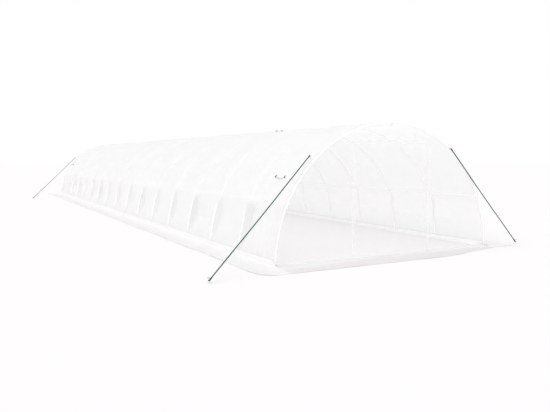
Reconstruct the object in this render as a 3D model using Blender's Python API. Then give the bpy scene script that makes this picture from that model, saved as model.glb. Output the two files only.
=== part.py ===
"""Tunnel greenhouse tent: seventeen tube arches under one stretched film cover.

The frame's origin is on the ground in the middle of the tent. X runs across the tunnel, Y runs
along it from the front end (negative) to the rear end (positive), and Z is up.
"""
import math

import bmesh
import bpy
import numpy as np

# Overall sizes in metres
SPAN = 4.0                  # width over the cover at the ground
BAY = 1.125                 # from one arch to the next
BAYS = 16
FACETS = 17                 # flats round one arch, odd so that the crown is a flat
CLEARANCE = 0.0003

# Tube frame
TUBE_DIAMETER = 0.025       # arch tube, measured over its flats
BAR_DIAMETER = 0.019        # tubes that run along the tunnel
TUBE_SIDES = 8
CLIP_LENGTH = 0.034
CLIP_WALL = 0.003
CLIP_WELD = 0.001           # how far a bar sinks into its clips
SIDE_BAR_HEIGHT = 0.86
BASE_RAIL_HEIGHT = 0.048

# Film
FILM_THICKNESS = 0.002
FILM_SAG = 0.020            # dip of the cover half way between two arches
SAG_START_HEIGHT = 1.0      # the cover has its whole dip above this height
SKIRT_WIDTH = 0.43          # apron on the ground along each side
SKIRT_END_WIDTH = 0.19      # apron on the ground at each end
SKIRT_WAVE = 0.045
SKIRT_END_WAVE = 0.012
SKIRT_THICKNESS = 0.002
SKIRT_LIFT = 0.007          # how high the apron's outer edge buckles

# Doors
DOOR_WIDTH = 1.40
DOOR_HEIGHT = 1.70
DOOR_LAP = 0.015            # the flap covers the doorway's edge by this much
HEM_HEIGHT = 0.035
HEM_THICKNESS = 0.009
HEM_SLOPE = 0.012
DOOR_GROUND_GAP = 0.006

# Zips
CHAIN_WIDTH = 0.008
CHAIN_THICKNESS = 0.003
CHAIN_CHAMFER = 0.001
SLIDER_HEIGHT = 0.024
SLIDER_WALL = 0.004
SLIDER_REST = 0.075         # height of the slider's lower edge when the door is shut
PULL_WIDTH = 0.007
PULL_LENGTH = 0.040
PULL_THICKNESS = 0.002

# Straps with toggles that hold the rolled door
DOOR_TIE_SPACING = 0.84
DOOR_TIE_WIDTH = 0.025
DOOR_TIE_LENGTH = 0.110
DOOR_TIE_GAP = 0.006
TOGGLE_DIAMETER = 0.012
TOGGLE_LENGTH = 0.045

# Short straps on the cover, each with a toggle at both ends
STRAP_WIDTH = 0.013
STRAP_END_WIDTH = 0.026
STRAP_THICKNESS = 0.005
STRAP_STEPS = 12
STRAP_TOGGLE_DIAMETER = 0.016
STRAP_TOGGLE_LENGTH = 0.042

# Each strap: the end of the tent it is counted from, how far in it starts, and how low it hangs
STRAPS = {
    "shoulder_strap_front": {"end": -1, "inset": 0.395, "span": 0.285, "angle": 36.6, "drop": 0.034},
    "shoulder_strap_rear": {"end": 1, "inset": 0.395, "span": 0.285, "angle": 36.6, "drop": 0.034},
    "ridge_strap": {"end": -1, "inset": 2.830, "span": 0.220, "angle": 80.5, "drop": 0.0},
}

# Guy ropes
ROPE_DIAMETER = 0.016
ROPE_SAG = 0.008
ROPE_POINTS = 16
LOOP_LENGTH = 0.036
LOOP_WIDTH = 0.028
LOOP_END_WIDTH = 0.020
LOOP_EXTRA_THICKNESS = 0.002
ROPE_END_HEIGHT = 0.030
STAKE_DIAMETER = 0.008
STAKE_STEM = 0.056
STAKE_BEND_RADIUS = 0.013
STAKE_BEND_STEPS = 8
STAKE_BEND_DEGREES = 205
STAKE_SIDES = 8

# Each guy rope: the angle of its loop on the arch, and its stake's place beside the tent. A loop
# with "behind" stands on the cover, that far behind the end arch, and the others on an end panel.
GUYS = {
    "front_left": {"side": -1, "end": -1, "angle": 47.0, "behind": 0.09, "out": 1.128,
                   "ahead": 0.478},
    "front_right": {"side": 1, "end": -1, "angle": 55.5, "out": 0.680, "ahead": 0.040},
    "rear_left": {"side": -1, "end": 1, "angle": 46.0, "out": 1.345, "ahead": -2.690},
    "rear_right": {"side": 1, "end": 1, "angle": 46.0, "out": 1.345, "ahead": -2.690},
}

# Worked out from the sizes above
HALF_LENGTH = BAY * BAYS / 2
FACET_ANGLE = math.pi / FACETS
FACET_COS = math.cos(FACET_ANGLE / 2)
TUBE_RADIUS = TUBE_DIAMETER / 2
BAR_RADIUS = BAR_DIAMETER / 2
TUBE_DEPTH = FILM_THICKNESS + CLEARANCE + TUBE_RADIUS
GRIP = TUBE_RADIUS + CLEARANCE
BAR_DEPTH = TUBE_DEPTH + GRIP + CLIP_WALL - CLIP_WELD + BAR_RADIUS
PANEL_INNER = HALF_LENGTH + TUBE_RADIUS + CLEARANCE
PANEL_OUTER = PANEL_INNER + FILM_THICKNESS
FLAP_INNER = PANEL_OUTER + CLEARANCE
FLAP_OUTER = FLAP_INNER + FILM_THICKNESS
FILM_FOOT = SKIRT_THICKNESS + CLEARANCE
FLAP_HALF_WIDTH = DOOR_WIDTH / 2 + DOOR_LAP
FLAP_TOP = DOOR_HEIGHT + DOOR_LAP
FLAP_FOOT = SKIRT_THICKNESS + DOOR_GROUND_GAP
SKIRT_INNER_END = PANEL_INNER
SKIRT_OUTER_END = PANEL_OUTER + SKIRT_END_WIDTH
LOOP_THICKNESS = ROPE_DIAMETER + LOOP_EXTRA_THICKNESS
ROPE_PLANE = FLAP_INNER + LOOP_THICKNESS / 2


def clear_scene():
    """Remove whatever the scene holds."""
    for old in list(bpy.data.objects):
        bpy.data.objects.remove(old)


def make_material(name, colour, roughness, metallic=0.0, alpha=1.0):
    """A Principled material in one plain colour."""
    material = bpy.data.materials.new(name)
    material.use_nodes = True
    shader = material.node_tree.nodes["Principled BSDF"]
    shader.inputs["Base Color"].default_value = (*colour, 1.0)
    shader.inputs["Roughness"].default_value = roughness
    shader.inputs["Metallic"].default_value = metallic
    shader.inputs["Alpha"].default_value = alpha
    material.diffuse_color = (*colour, alpha)
    return material


def make_materials():
    """Every finish of the tent."""
    return {
        "steel": make_material("white_coated_steel", (0.86, 0.87, 0.87), 0.38),
        "film": make_material("woven_film", (0.93, 0.94, 0.94), 0.42, alpha=0.45),
        "clear_film": make_material("clear_film", (0.93, 0.94, 0.94), 0.20, alpha=0.20),
        "skirt": make_material("skirt_film", (0.84, 0.85, 0.85), 0.48, alpha=0.75),
        "zip": make_material("zip_tape", (0.90, 0.91, 0.91), 0.60),
        "slider": make_material("zip_slider", (0.72, 0.73, 0.74), 0.30, metallic=1.0),
        "webbing": make_material("white_webbing", (0.82, 0.83, 0.83), 0.75),
        "dark_webbing": make_material("grey_webbing", (0.18, 0.19, 0.19), 0.75),
        "rope": make_material("green_rope", (0.008, 0.115, 0.070), 0.70),
        "stake": make_material("zinc_stake", (0.55, 0.56, 0.57), 0.35, metallic=1.0),
    }


def add_object(name, data, material, location=(0, 0, 0)):
    """Link one piece to the scene, with its material."""
    data.materials.clear()
    data.materials.append(material)
    piece = bpy.data.objects.new(name, data)
    piece.location = location
    bpy.context.scene.collection.objects.link(piece)
    return piece


def loft_mesh(name, rings, smooth_degrees=None):
    """Skin a row of closed rings, each with as many points, and close both ends."""
    rings = np.asarray(rings, dtype=float)
    count, size = rings.shape[:2]
    index = np.arange(count * size).reshape(count, size)
    shifted = np.roll(index, -1, axis=1)
    quads = np.stack([index[:-1], shifted[:-1], shifted[1:], index[1:]], axis=-1).reshape(-1, 4)
    faces = quads.tolist() + [index[0].tolist(), index[-1].tolist()]
    mesh = bpy.data.meshes.new(name)
    mesh.from_pydata(rings.reshape(-1, 3).tolist(), [], faces)
    turn_faces_out(mesh)
    if smooth_degrees is not None:
        mesh.shade_smooth()
        mesh.set_sharp_from_angle(angle=math.radians(smooth_degrees))
    return mesh


def turn_faces_out(mesh):
    """Point every face of a closed mesh outwards."""
    work = bmesh.new()
    work.from_mesh(mesh)
    bmesh.ops.recalc_face_normals(work, faces=work.faces)
    work.to_mesh(mesh)
    work.free()


def prism_mesh(name, outline, low, high, axis):
    """Extrude a flat outline along the named axis, from low to high."""
    outline = np.asarray(outline, dtype=float)
    place = "XYZ".index(axis)
    rings = [np.insert(outline, place, level, axis=1) for level in (low, high)]
    return loft_mesh(name, rings)


def polygon_points(radius_over_flats, sides):
    """A regular polygon with a flat facing each axis, as (a, b) pairs."""
    reach = radius_over_flats / math.cos(math.pi / sides)
    angles = (np.arange(sides) + 0.5) * 2 * math.pi / sides
    return reach * np.stack([np.cos(angles), np.sin(angles)], axis=1)


def corner_radius(depth):
    """Radius of the arch polygon's corners, at a depth under the cover's outer face."""
    return SPAN / 2 - depth / FACET_COS


def arch_corner(number, depth, foot=0.0):
    """One corner (x, z) of the arch polygon, with both feet cut off level at a height."""
    radius = corner_radius(depth)
    if 0 < number < FACETS:
        angle = number * FACET_ANGLE
        return np.array([-radius * math.cos(angle), radius * math.sin(angle)])
    side = -1 if number == 0 else 1
    rise = radius * math.sin(FACET_ANGLE)
    lean = radius * (1 - math.cos(FACET_ANGLE))
    return np.array([side * (radius - lean * foot / rise), foot])


def facet_frame(number):
    """Corner, direction along and outward direction of one flat of the cover's outer face."""
    corner = arch_corner(number, 0.0)
    following = arch_corner(number + 1, 0.0)
    along = (following - corner) / np.linalg.norm(following - corner)
    outward = np.array([-along[1], along[0]])
    return corner, along, outward


def facet_length():
    """Length of one flat of the cover's outer face."""
    return SPAN * math.sin(FACET_ANGLE / 2)


def place_on_left(height, margin):
    """The flat on the left side at a height, and the distance along it, clear of its corners."""
    angle = math.asin(min(height / (SPAN / 2), 1.0))
    number = int(angle / FACET_ANGLE)
    corner, along, _ = facet_frame(number)
    distance = (height - corner[1]) / along[1]
    return number, min(max(distance, margin), facet_length() - margin)


def arch_stations():
    """Y of every arch, front to rear."""
    return -HALF_LENGTH + BAY * np.arange(BAYS + 1)


def arch_mesh():
    """One bent tube: an octagon carried round the arch polygon, with both feet cut level."""
    section = polygon_points(TUBE_RADIUS, TUBE_SIDES)
    rings = []
    for number in range(FACETS + 1):
        ring = []
        for inward, across in section:
            x, z = arch_corner(number, TUBE_DEPTH + inward)
            ring.append((x, across, z))
        rings.append(ring)
    return loft_mesh("arch", rings, smooth_degrees=50)


def make_arches(material):
    """All the arches share one mesh."""
    mesh = arch_mesh()
    for number, y in enumerate(arch_stations()):
        add_object(f"arch_{number:02d}", mesh, material, (0, y, 0))


def clip_outline(end):
    """A clip's section (inward, across) round half of the arch tube.

    At an end arch the clip has no arm on the outer side, where the end panel lies.
    """
    flat = GRIP * math.tan(math.pi / TUBE_SIDES)
    outer = GRIP + CLIP_WALL
    if end == 0:
        return [(0, GRIP), (flat, GRIP), (GRIP, flat), (GRIP, -flat), (flat, -GRIP), (0, -GRIP),
                (0, -outer), (outer, -outer), (outer, outer), (0, outer)]
    half = [(0, GRIP), (flat, GRIP), (GRIP, flat), (GRIP, -TUBE_RADIUS), (outer, -TUBE_RADIUS),
            (outer, outer), (0, outer)]
    return [(inward, -end * across) for inward, across in half]


def add_clip(work, y, end, corner, along, outward, distance):
    """Add one clip round an arch tube to a bmesh."""
    ends = []
    for shift in (-CLIP_LENGTH / 2, CLIP_LENGTH / 2):
        ring = []
        for inward, across in clip_outline(end):
            x, z = corner + along * (distance + shift) - outward * (TUBE_DEPTH + inward)
            ring.append(work.verts.new((x, y + across, z)))
        ends.append(ring)
    first, second = ends
    size = len(first)
    for point in range(size):
        following = (point + 1) % size
        work.faces.new((first[point], first[following], second[following], second[point]))
    work.faces.new(first)
    work.faces.new(second)


def clips_mesh(name, frame, distance):
    """Every clip of one bar, as loose closed bodies in one mesh."""
    work = bmesh.new()
    stations = arch_stations()
    for number, y in enumerate(stations):
        end = {0: -1, len(stations) - 1: 1}.get(number, 0)
        add_clip(work, y, end, *frame, distance)
    bmesh.ops.recalc_face_normals(work, faces=work.faces)
    mesh = bpy.data.meshes.new(name)
    work.to_mesh(mesh)
    work.free()
    return mesh


def union_mesh(name, base, addition):
    """Boolean union of two meshes."""
    body = bpy.data.objects.new("body", base)
    extra = bpy.data.objects.new("extra", addition)
    for item in (body, extra):
        bpy.context.scene.collection.objects.link(item)
    join = body.modifiers.new("join", "BOOLEAN")
    join.operation = "UNION"
    join.solver = "EXACT"
    join.object = extra
    graph = bpy.context.evaluated_depsgraph_get()
    result = bpy.data.meshes.new_from_object(body.evaluated_get(graph))
    result.name = name
    for item in (body, extra):
        bpy.data.objects.remove(item)
    result.shade_smooth()
    result.set_sharp_from_angle(angle=math.radians(50))
    return result


def bar_mesh(name, facet, distance):
    """A straight tube along the tunnel under the arches, welded to a clip on each arch."""
    frame = facet_frame(facet)
    corner, along, outward = frame
    centre = corner + along * distance - outward * BAR_DEPTH
    reach = HALF_LENGTH + TUBE_RADIUS
    rings = []
    for y in (-reach, reach):
        ring = []
        for inward, sideways in polygon_points(BAR_RADIUS, TUBE_SIDES):
            x, z = centre - outward * inward + along * sideways
            ring.append((x, y, z))
        rings.append(ring)
    tube = loft_mesh(name + "_tube", rings)
    return union_mesh(name, tube, clips_mesh(name + "_clips", frame, distance))


def mirrored_mesh(name, mesh):
    """A copy of a mesh, mirrored across the tunnel."""
    copy = mesh.copy()
    copy.name = name
    points = np.empty(len(copy.vertices) * 3)
    copy.vertices.foreach_get("co", points)
    points[0::3] *= -1
    copy.vertices.foreach_set("co", points)
    copy.flip_normals()
    copy.update()
    return copy


def make_bars(material):
    """Ridge bar, two side bars and two base rails."""
    middle = FACETS // 2
    add_object("ridge_bar", bar_mesh("ridge_bar", middle, facet_length() / 2), material)
    for name, height in (("side_bar", SIDE_BAR_HEIGHT), ("base_rail", BASE_RAIL_HEIGHT)):
        facet, distance = place_on_left(height, CLIP_LENGTH)
        mesh = bar_mesh(name + "_left", facet, distance)
        add_object(name + "_left", mesh, material)
        add_object(name + "_right", mirrored_mesh(name + "_right", mesh), material)


def make_sill_bars(material):
    """A tube on the ground between the feet of each end arch."""
    _, along, _ = facet_frame(0)
    lean = abs(along[0] / along[1])
    reach = corner_radius(TUBE_DEPTH + TUBE_RADIUS) - BAR_DIAMETER * lean - CLEARANCE
    for name, end in (("front_sill_bar", -1), ("rear_sill_bar", 1)):
        centre = np.array([end * HALF_LENGTH, BAR_RADIUS])
        outline = centre + polygon_points(BAR_RADIUS, TUBE_SIDES)
        mesh = prism_mesh(name, outline, -reach, reach, "X")
        mesh.shade_smooth()
        mesh.set_sharp_from_angle(angle=math.radians(50))
        add_object(name, mesh, material)


def sag_at(number, share):
    """Dip of the cover at a corner of the arch polygon; share is 0 at an arch, 1 between two."""
    height = SPAN / 2 * math.sin(number * FACET_ANGLE)
    return FILM_SAG * share * min(height / SAG_START_HEIGHT, 1.0)


def cover_stations():
    """Y of each section of the cover, with its share of the dip.

    The guy ropes pull on the end arches, so the film of the two end bays is stretched flat.
    """
    stations = [(-HALF_LENGTH + number * BAY / 2, number % 2) for number in range(2, 2 * BAYS - 1)]
    return [(-PANEL_OUTER, 0)] + stations + [(PANEL_OUTER, 0)]


def make_cover(material):
    """One sheet of film over all the arches, which dips between each two of them."""
    rings = []
    for y, share in cover_stations():
        ring = []
        for depth, order in ((0.0, range(FACETS + 1)), (FILM_THICKNESS, range(FACETS, -1, -1))):
            for number in order:
                dip = sag_at(number, share)
                x, z = arch_corner(number, depth + dip, FILM_FOOT)
                ring.append((x, y, z))
        rings.append(ring)
    add_object("cover_film", loft_mesh("cover_film", rings), material)


def wander(position, scale):
    """A smooth uneven wave between 0 and 1, for the cut edge of loose film."""
    slow = math.sin(position * 2.3 / scale)
    quick = math.sin(position * 5.9 / scale + 1.1)
    return 0.5 + 0.3 * slow + 0.2 * quick


def make_side_skirts(material):
    """Film aprons that lie on the ground along both sides."""
    inner = corner_radius(FILM_THICKNESS)
    rings = []
    for y in np.linspace(-SKIRT_OUTER_END, SKIRT_OUTER_END, 2 * BAYS + 3):
        edge = -(SPAN / 2 + SKIRT_WIDTH - SKIRT_WAVE * wander(y, 1.0))
        lift = SKIRT_LIFT * wander(y + 3.0, 0.7)
        middle = (edge - inner) / 2
        rings.append([(-inner, y, 0), (-inner, y, SKIRT_THICKNESS),
                      (middle, y, SKIRT_THICKNESS + lift / 3),
                      (edge, y, SKIRT_THICKNESS + lift), (edge, y, 0)])
    mesh = loft_mesh("skirt_left", rings)
    add_object("skirt_left", mesh, material)
    add_object("skirt_right", mirrored_mesh("skirt_right", mesh), material)


def make_end_skirts(material):
    """Film aprons that lie on the ground in front of both end panels."""
    reach = corner_radius(FILM_THICKNESS) - CLEARANCE
    for name, end in (("skirt_front", -1), ("skirt_rear", 1)):
        rings = []
        for x in np.linspace(-reach, reach, 13):
            edge = SKIRT_OUTER_END - SKIRT_END_WAVE * wander(x, 0.5)
            lift = SKIRT_LIFT / 2 * wander(x + 1.0, 0.4)
            rings.append([(x, end * SKIRT_INNER_END, 0), (x, end * SKIRT_INNER_END, SKIRT_THICKNESS),
                          (x, end * edge, SKIRT_THICKNESS + lift), (x, end * edge, 0)])
        add_object(name, loft_mesh(name, rings), material)


def make_end_panel(name, end, material):
    """The film that closes one end, with its doorway cut out."""
    depth = FILM_THICKNESS + CLEARANCE
    arc = [tuple(arch_corner(number, depth, FILM_FOOT)) for number in range(FACETS + 1)]
    half = DOOR_WIDTH / 2
    doorway = [(half, FILM_FOOT), (half, DOOR_HEIGHT), (-half, DOOR_HEIGHT), (-half, FILM_FOOT)]
    mesh = prism_mesh(name, arc + doorway, end * PANEL_INNER, end * PANEL_OUTER, "Y")
    add_object(name, mesh, material)


def make_door(name, end, material):
    """The flap over the doorway, with a weighted hem; its origin is on its upper outer edge."""
    thickness = FILM_THICKNESS
    foot = FLAP_FOOT - FLAP_TOP
    outline = [(-thickness, 0), (0, 0), (0, foot + HEM_HEIGHT + HEM_SLOPE),
               (HEM_THICKNESS - thickness, foot + HEM_HEIGHT),
               (HEM_THICKNESS - thickness, foot), (-thickness, foot)]
    outline = [(end * outward, height) for outward, height in outline]
    mesh = prism_mesh(name, outline, -FLAP_HALF_WIDTH, FLAP_HALF_WIDTH, "X")
    add_object(name, mesh, material, (0, end * FLAP_OUTER, FLAP_TOP))


def chain_edges():
    """Inner and outer edge of a zip chain beside the flap."""
    inner = FLAP_HALF_WIDTH + CLEARANCE
    return inner, inner + CHAIN_WIDTH


def make_zip(name, side, end, material):
    """A zip chain on the panel along one edge of the flap."""
    inner, outer = chain_edges()
    face = FLAP_INNER + CHAIN_THICKNESS
    section = [(inner, FLAP_INNER), (outer, FLAP_INNER), (outer, face - CHAIN_CHAMFER),
               (outer - CHAIN_CHAMFER, face), (inner + CHAIN_CHAMFER, face),
               (inner, face - CHAIN_CHAMFER)]
    section = [(side * x, end * y) for x, y in section]
    add_object(name, prism_mesh(name, section, FLAP_FOOT, FLAP_TOP, "Z"), material)


def make_slider(name, side, end, material):
    """A zip slider that laps the chain's outer edge, with its pull hanging in front."""
    inner, outer = chain_edges()
    front = CHAIN_THICKNESS + CLEARANCE
    body = [(0, front), (CHAIN_WIDTH + CLEARANCE, front), (CHAIN_WIDTH + CLEARANCE, 0),
            (CHAIN_WIDTH + CLEARANCE + SLIDER_WALL, 0),
            (CHAIN_WIDTH + CLEARANCE + SLIDER_WALL, front + SLIDER_WALL / 2),
            (CHAIN_WIDTH + CLEARANCE, front + SLIDER_WALL), (0, front + SLIDER_WALL)]
    body = [(side * x, end * y) for x, y in body]
    casing = prism_mesh(name, body, 0, SLIDER_HEIGHT, "Z")
    middle = CHAIN_WIDTH / 2
    low = front + SLIDER_WALL - PULL_THICKNESS / 2
    high = low + PULL_THICKNESS
    top = SLIDER_HEIGHT * 0.7
    pull = [(middle - PULL_WIDTH / 4, top), (middle + PULL_WIDTH / 4, top),
            (middle + PULL_WIDTH / 2, top - PULL_LENGTH), (middle - PULL_WIDTH / 2, top - PULL_LENGTH)]
    pull = [(side * x, z) for x, z in pull]
    tab = prism_mesh(name + "_pull", pull, end * low, end * high, "Y")
    mesh = union_mesh(name, casing, tab)
    add_object(name, mesh, material, (side * inner, end * FLAP_INNER, SLIDER_REST))


def make_door_tie(name, side, end, material):
    """A strap with a toggle above the doorway, which holds the rolled door."""
    middle = side * DOOR_TIE_SPACING / 2
    low = FLAP_TOP + DOOR_TIE_GAP
    width = DOOR_TIE_WIDTH / 2
    strap = [(middle - width, low), (middle + width, low),
             (middle + width, low + DOOR_TIE_LENGTH), (middle - width, low + DOOR_TIE_LENGTH)]
    band = prism_mesh(name, strap, end * FLAP_INNER, end * FLAP_OUTER, "Y")
    radius = TOGGLE_DIAMETER / 2
    centre = np.array([end * (FLAP_OUTER + radius - CLIP_WELD), low + radius])
    outline = centre + polygon_points(radius, 8)
    toggle = prism_mesh(name + "_toggle", outline, middle - TOGGLE_LENGTH / 2,
                        middle + TOGGLE_LENGTH / 2, "X")
    add_object(name, union_mesh(name, band, toggle), material)


def make_ends(materials):
    """Panel, door, zips, sliders and door ties of both ends."""
    for word, end in (("front", -1), ("rear", 1)):
        make_end_panel(f"{word}_end_panel", end, materials["clear_film"])
        make_door(f"{word}_door", end, materials["clear_film"])
        for hand, side in (("left", -1), ("right", 1)):
            make_zip(f"{word}_zip_{hand}", side, end, materials["zip"])
            make_slider(f"{word}_zip_slider_{hand}", side, end, materials["slider"])
            make_door_tie(f"{word}_door_tie_{hand}", side, end, materials["webbing"])


def dip_along(y):
    """Dip of the cover at a place along the tunnel, above the height where it is whole."""
    if abs(y) > HALF_LENGTH - BAY:
        return 0.0
    return FILM_SAG * (1 - abs((y + HALF_LENGTH) / (BAY / 2) % 2 - 1))


def strap_ring(share, strap, y, facet, distance):
    """The strap's section at a share of its length, slack between its two ends."""
    corner, along, outward = facet
    near_end = max(0.0, 1 - 8 * min(share, 1 - share))
    width = STRAP_WIDTH + near_end * (STRAP_END_WIDTH - STRAP_WIDTH)
    middle = distance - 4 * share * (1 - share) * strap["drop"]
    ring = []
    for shift, rise in ((-1, 0), (1, 0), (1, 1), (-1, 1)):
        height = CLEARANCE + rise * STRAP_THICKNESS - dip_along(y)
        x, z = corner + along * (middle + shift * width / 2) + outward * height
        ring.append((x, y, z))
    return ring


def strap_toggle(name, y, facet, distance):
    """A round toggle across one end of a strap."""
    corner, along, outward = facet
    radius = STRAP_TOGGLE_DIAMETER / 2
    height = CLEARANCE + STRAP_THICKNESS + radius - CLIP_WELD - dip_along(y)
    rings = []
    for shift in (-STRAP_TOGGLE_LENGTH / 2, STRAP_TOGGLE_LENGTH / 2):
        ring = []
        for across, rise in polygon_points(radius, TUBE_SIDES):
            x, z = corner + along * (distance + shift) + outward * (height + rise)
            ring.append((x, y + across, z))
        rings.append(ring)
    return loft_mesh(name, rings)


def make_straps(material):
    """The straps on the left of the cover."""
    for name, strap in STRAPS.items():
        height = SPAN / 2 * math.sin(math.radians(strap["angle"]))
        margin = strap["drop"] + STRAP_TOGGLE_LENGTH / 2
        number, distance = place_on_left(height, margin)
        facet = facet_frame(number)
        start = strap["end"] * (HALF_LENGTH - strap["inset"])
        run = -strap["end"] * strap["span"]
        shares = np.linspace(0, 1, STRAP_STEPS + 1)
        rings = [strap_ring(share, strap, start + share * run, facet, distance) for share in shares]
        mesh = loft_mesh(name, rings)
        for share in (0.5 / STRAP_STEPS, 1 - 0.5 / STRAP_STEPS):
            toggle = strap_toggle(name + "_toggle", start + share * run, facet, distance)
            mesh = union_mesh(name, mesh, toggle)
        add_object(name, mesh, material)


def guy_line(guy):
    """A guy's anchor, its rope's place on the stake and the loop's direction.

    A loop on the cover stands straight out of it. One on an end panel lies in line with its rope,
    or points straight out past the cover's edge where the rope runs back along the tent.
    """
    angle = math.radians(guy["angle"])
    stake = np.array([guy["side"] * (SPAN / 2 + guy["out"]),
                      guy["end"] * (PANEL_OUTER + guy["ahead"]), ROPE_END_HEIGHT])
    if "behind" in guy:
        number, distance = place_on_left(SPAN / 2 * math.sin(angle), LOOP_WIDTH / 2)
        corner, along, outward = facet_frame(number)
        x, z = corner + along * distance + outward * CLEARANCE
        anchor = np.array([x, guy["end"] * (HALF_LENGTH - guy["behind"]), z])
        return anchor, stake, np.array([outward[0], 0, outward[1]])
    outwards = np.array([guy["side"] * math.cos(angle), 0, math.sin(angle)])
    anchor = corner_radius(TUBE_DEPTH) * outwards + np.array([0, guy["end"] * ROPE_PLANE, 0])
    if guy["ahead"] < 0:
        return anchor, stake, outwards
    along = (stake - anchor) * np.array([1, 0, 1])
    return anchor, stake, along / np.linalg.norm(along)


def make_guy_loop(name, guy, material):
    """A folded webbing loop that stands or lies on the film at its guy's anchor."""
    anchor, _, along = guy_line(guy)
    forward = along[[0, 2]]
    sideways = np.array([-forward[1], forward[0]])
    shape = [(0, -LOOP_WIDTH / 2), (0, LOOP_WIDTH / 2), (LOOP_LENGTH * 0.6, LOOP_WIDTH / 2),
             (LOOP_LENGTH, LOOP_END_WIDTH / 2), (LOOP_LENGTH, -LOOP_END_WIDTH / 2),
             (LOOP_LENGTH * 0.6, -LOOP_WIDTH / 2)]
    outline = [anchor[[0, 2]] + forward * a + sideways * b for a, b in shape]
    half = guy["end"] * LOOP_THICKNESS / 2
    mesh = prism_mesh(name, outline, anchor[1] - half, anchor[1] + half, "Y")
    add_object(name, mesh, material)


def rope_ends(guy):
    """The rope's first and last point, clear of its loop's tip and of its stake."""
    anchor, stake, along = guy_line(guy)
    tip = anchor + along * (LOOP_LENGTH + CLEARANCE)
    run = (stake - tip) / np.linalg.norm(stake - tip)
    level = math.hypot(run[0], run[1])
    start = tip + along * ROPE_DIAMETER / 2 * math.sqrt(1 - (run @ along) ** 2)
    stem = STAKE_DIAMETER / 2 / math.cos(math.pi / STAKE_SIDES) + CLEARANCE
    finish = stake - run * (stem + ROPE_DIAMETER / 2 * abs(run[2])) / level
    return start, finish


def make_stake(name, guy, material):
    """The part of a hooked ground stake that stands above the ground."""
    start, place = guy_line(guy)[:2]
    away = (place - start) * np.array([1, 1, 0])
    away /= np.linalg.norm(away)
    up = np.array([0, 0, 1.0])
    sideways = np.cross(up, away)
    foot = place * np.array([1, 1, 0])
    path = [(0.0, 0.0, 0.0), (0.0, STAKE_STEM, 0.0)]
    for step in range(1, STAKE_BEND_STEPS + 1):
        turn = math.radians(STAKE_BEND_DEGREES) * step / STAKE_BEND_STEPS
        path.append((STAKE_BEND_RADIUS * (1 - math.cos(turn)),
                     STAKE_STEM + STAKE_BEND_RADIUS * math.sin(turn), turn))
    section = polygon_points(STAKE_DIAMETER / 2, STAKE_SIDES)
    rings = []
    for outward, height, turn in path:
        normal = -math.cos(turn) * away + math.sin(turn) * up
        centre = foot + outward * away + height * up
        rings.append([centre + a * normal + b * sideways for a, b in section])
    add_object(name, loft_mesh(name, rings, smooth_degrees=50), material)


def make_rope(name, guy, material):
    """A taut rope from its loop to its stake, dipping a little under its own weight."""
    start, finish = rope_ends(guy)
    curve = bpy.data.curves.new(name, "CURVE")
    curve.dimensions = "3D"
    curve.bevel_depth = ROPE_DIAMETER / 2
    curve.bevel_resolution = 2
    curve.use_fill_caps = True
    spline = curve.splines.new("POLY")
    spline.points.add(ROPE_POINTS - 1)
    for number, point in enumerate(spline.points):
        share = number / (ROPE_POINTS - 1)
        x, y, z = start + (finish - start) * share
        dip = ROPE_SAG * (1 - math.cos(2 * math.pi * share)) / 2
        point.co = (x, y, z - dip, 1)
    add_object(name, curve, material)


def make_guys(materials):
    """Loop, rope and stake at each corner of the tent."""
    for word, guy in GUYS.items():
        make_guy_loop(f"guy_loop_{word}", guy, materials["dark_webbing"])
        make_rope(f"guy_rope_{word}", guy, materials["rope"])
        make_stake(f"stake_{word}", guy, materials["stake"])


def main():
    """Build the whole tent."""
    clear_scene()
    materials = make_materials()
    make_arches(materials["steel"])
    make_bars(materials["steel"])
    make_sill_bars(materials["steel"])
    make_cover(materials["film"])
    make_side_skirts(materials["skirt"])
    make_end_skirts(materials["skirt"])
    make_ends(materials)
    make_straps(materials["dark_webbing"])
    make_guys(materials)


main()
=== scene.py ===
"""Looks of a tunnel greenhouse tent: smooth film, round tube arches, zipped ends and guy ropes."""
import math

import bpy
import numpy as np
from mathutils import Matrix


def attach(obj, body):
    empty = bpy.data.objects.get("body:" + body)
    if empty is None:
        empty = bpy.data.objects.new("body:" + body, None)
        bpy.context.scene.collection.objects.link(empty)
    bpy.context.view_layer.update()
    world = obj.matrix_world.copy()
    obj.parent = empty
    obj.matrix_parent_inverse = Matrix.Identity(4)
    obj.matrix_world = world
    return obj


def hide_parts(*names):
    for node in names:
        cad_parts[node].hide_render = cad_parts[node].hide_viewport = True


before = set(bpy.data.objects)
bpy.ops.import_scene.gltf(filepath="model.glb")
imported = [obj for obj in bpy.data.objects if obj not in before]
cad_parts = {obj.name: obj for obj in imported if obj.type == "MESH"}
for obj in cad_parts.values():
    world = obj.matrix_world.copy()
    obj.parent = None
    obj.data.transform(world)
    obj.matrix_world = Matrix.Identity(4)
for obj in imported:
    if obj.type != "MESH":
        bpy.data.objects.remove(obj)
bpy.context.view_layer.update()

bl_info = {
    "name": "Tunnel greenhouse tent",
    "version": (1, 0, 0),
    "blender": (4, 5, 0),
    "location": "3D View > Sidebar > Tent",
    "description": "Builds the visible pieces of a tunnel greenhouse tent on its solid frame",
    "category": "Object",
}

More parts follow.
